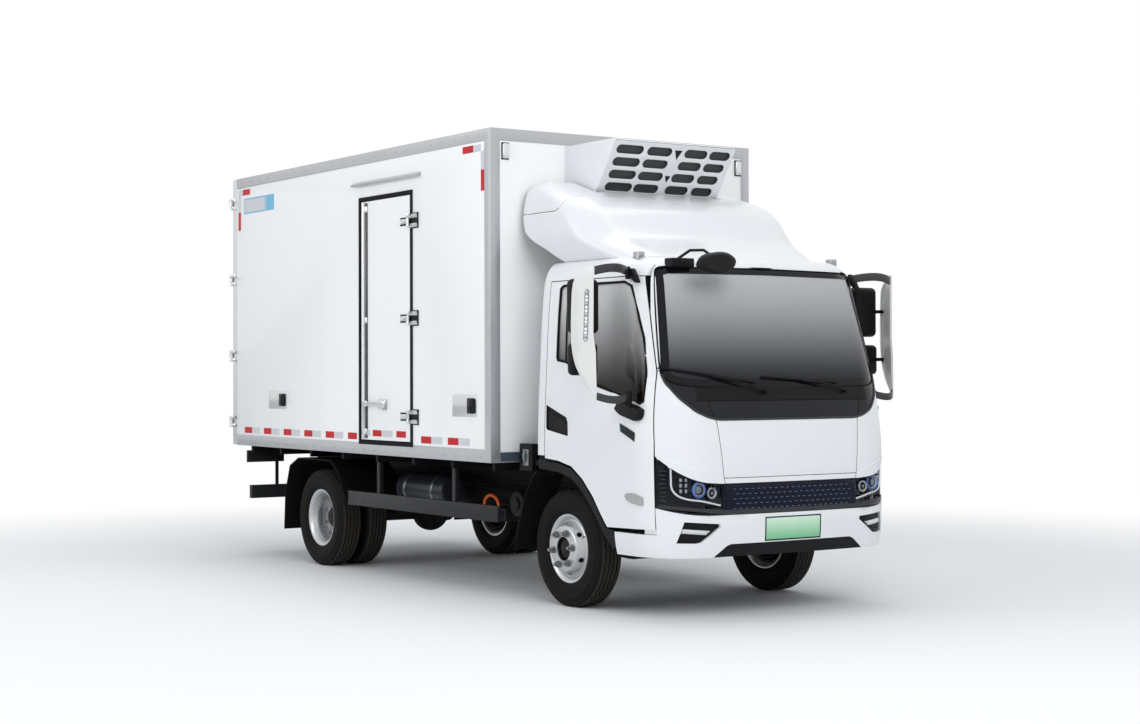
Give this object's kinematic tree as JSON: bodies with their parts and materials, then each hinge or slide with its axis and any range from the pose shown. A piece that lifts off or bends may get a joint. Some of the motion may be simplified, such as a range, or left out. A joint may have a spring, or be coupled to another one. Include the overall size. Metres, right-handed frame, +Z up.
{
  "type": "light refrigerated box truck",
  "caption": "Light refrigerated box truck: tilting cab with roof fairing, insulated box with side and rear doors, cooling unit, ladder chassis and twin rear wheels.",
  "frame": {"origin": "on the ground under the middle of the truck's bounding box", "axes": "+X forward, +Y to the truck's left, +Z up"},
  "size_m": [5.9954, 2.6062, 3.189],
  "materials": {
    "white_paint": "gloss",
    "panel_white": "satin",
    "aluminium_rail": "satin",
    "stainless": "satin",
    "wheel_silver": "satin",
    "chassis_black": "satin",
    "guard_grey": "satin",
    "trim_black": "matte",
    "gloss_black": "gloss",
    "rubber_black": "matte",
    "tyre_black": "matte",
    "tinted_glass": "gloss",
    "lamp_clear": "gloss",
    "cast_iron_dark": "satin",
    "seat_fabric": "matte",
    "dash_grey": "matte",
    "tank_blue_grey": "satin"
  },
  "bodies": {
    "chassis": {"frame_ladder": "chassis_black", "cab_rear_mount": "chassis_black", "front_axle": "cast_iron_dark", "rear_axle": "cast_iron_dark", "leaf_springs": "cast_iron_dark", "power_units": "chassis_black", "air_tanks": "tank_blue_grey", "side_guards": "guard_grey", "rear_underrun": "chassis_black", "mudguards": "rubber_black", "box_floor": "chassis_black", "box_front_wall": "panel_white", "box_left_wall": "panel_white", "box_right_wall": "panel_white", "box_roof": "panel_white", "edge_rails": "aluminium_rail", "rear_frame": "stainless", "reefer_unit": "white_paint", "side_door_frame": "trim_black"},
    "cab": {"cab_front": "white_paint", "cab_roof": "white_paint", "cab_rear": "white_paint", "cab_floor": "chassis_black", "windscreen": "tinted_glass", "cowl_panel": "gloss_black", "headlamps": "gloss_black", "lamp_lenses": "lamp_clear", "grille": "gloss_black", "bumper": "white_paint", "bumper_skirt": "trim_black", "fog_lamps": "trim_black", "arch_flares": "trim_black", "fairing": "white_paint", "front_mirror": "trim_black", "roof_lamps": "lamp_clear", "dashboard": "dash_grey", "seats": "seat_fabric"},
    "cab_door_left_body": {"cab_door_left": "white_paint", "door_glass_left": "tinted_glass", "mirror_left": "white_paint"},
    "cab_door_right_body": {"cab_door_right": "white_paint", "door_glass_right": "tinted_glass", "mirror_right": "white_paint"},
    "knuckle_left_body": {"knuckle_left": "cast_iron_dark"},
    "knuckle_right_body": {"knuckle_right": "cast_iron_dark"},
    "front_wheel_left": {"tyre_front_left": "tyre_black", "wheel_front_left": "wheel_silver"},
    "front_wheel_right": {"tyre_front_right": "tyre_black", "wheel_front_right": "wheel_silver"},
    "rear_wheels_left": {"tyres_rear_left": "tyre_black", "wheels_rear_left": "wheel_silver"},
    "rear_wheels_right": {"tyres_rear_right": "tyre_black", "wheels_rear_right": "wheel_silver"},
    "side_door_body": {"side_door": "panel_white"},
    "rear_door_left_body": {"rear_door_left": "panel_white"},
    "rear_door_right_body": {"rear_door_right": "panel_white"}
  },
  "joints": [
    {"name": "cab_tilt", "type": "hinge", "parent": "chassis", "child": "cab", "pos_m": [2.7875, 0, 0.5], "axis": [0, 1, 0], "range_deg": [0, 40]},
    {"name": "cab_door_left_hinge", "type": "hinge", "parent": "cab", "child": "cab_door_left_body", "pos_m": [2.7825, 0.975, 1.2], "axis": [0, 0, -1], "range_deg": [0, 68]},
    {"name": "cab_door_right_hinge", "type": "hinge", "parent": "cab", "child": "cab_door_right_body", "pos_m": [2.7825, -0.975, 1.2], "axis": [0, 0, 1], "range_deg": [0, 68]},
    {"name": "steer_left", "type": "hinge", "parent": "chassis", "child": "knuckle_left_body", "pos_m": [1.8075, 0.74, 0.38], "axis": [0, 0, 1], "range_deg": [-35, 35]},
    {"name": "steer_right", "type": "hinge", "parent": "chassis", "child": "knuckle_right_body", "pos_m": [1.8075, -0.74, 0.38], "axis": [0, 0, 1], "range_deg": [-35, 35]},
    {"name": "front_wheel_left_spin", "type": "hinge", "parent": "knuckle_left_body", "child": "front_wheel_left", "pos_m": [1.8075, 0.825, 0.38], "axis": [0, 1, 0], "continuous": true},
    {"name": "front_wheel_right_spin", "type": "hinge", "parent": "knuckle_right_body", "child": "front_wheel_right", "pos_m": [1.8075, -0.825, 0.38], "axis": [0, 1, 0], "continuous": true},
    {"name": "rear_wheels_left_spin", "type": "hinge", "parent": "chassis", "child": "rear_wheels_left", "pos_m": [-1.5525, 0.81, 0.38], "axis": [0, 1, 0], "continuous": true},
    {"name": "rear_wheels_right_spin", "type": "hinge", "parent": "chassis", "child": "rear_wheels_right", "pos_m": [-1.5525, -0.81, 0.38], "axis": [0, 1, 0], "continuous": true},
    {"name": "side_door_hinge", "type": "hinge", "parent": "chassis", "child": "side_door_body", "pos_m": [0.1115, -1.145, 1.925], "axis": [0, 0, 1], "range_deg": [0, 170]},
    {"name": "rear_door_left_hinge", "type": "hinge", "parent": "chassis", "child": "rear_door_left_body", "pos_m": [-2.9835, 1.14, 2], "axis": [0, 0, -1], "range_deg": [0, 250]},
    {"name": "rear_door_right_hinge", "type": "hinge", "parent": "chassis", "child": "rear_door_right_body", "pos_m": [-2.9835, -1.14, 2], "axis": [0, 0, 1], "range_deg": [0, 250]}
  ],
  "couplings": [
    {"joint": "steer_right", "follows": "steer_left", "ratio": 1}
  ]
}
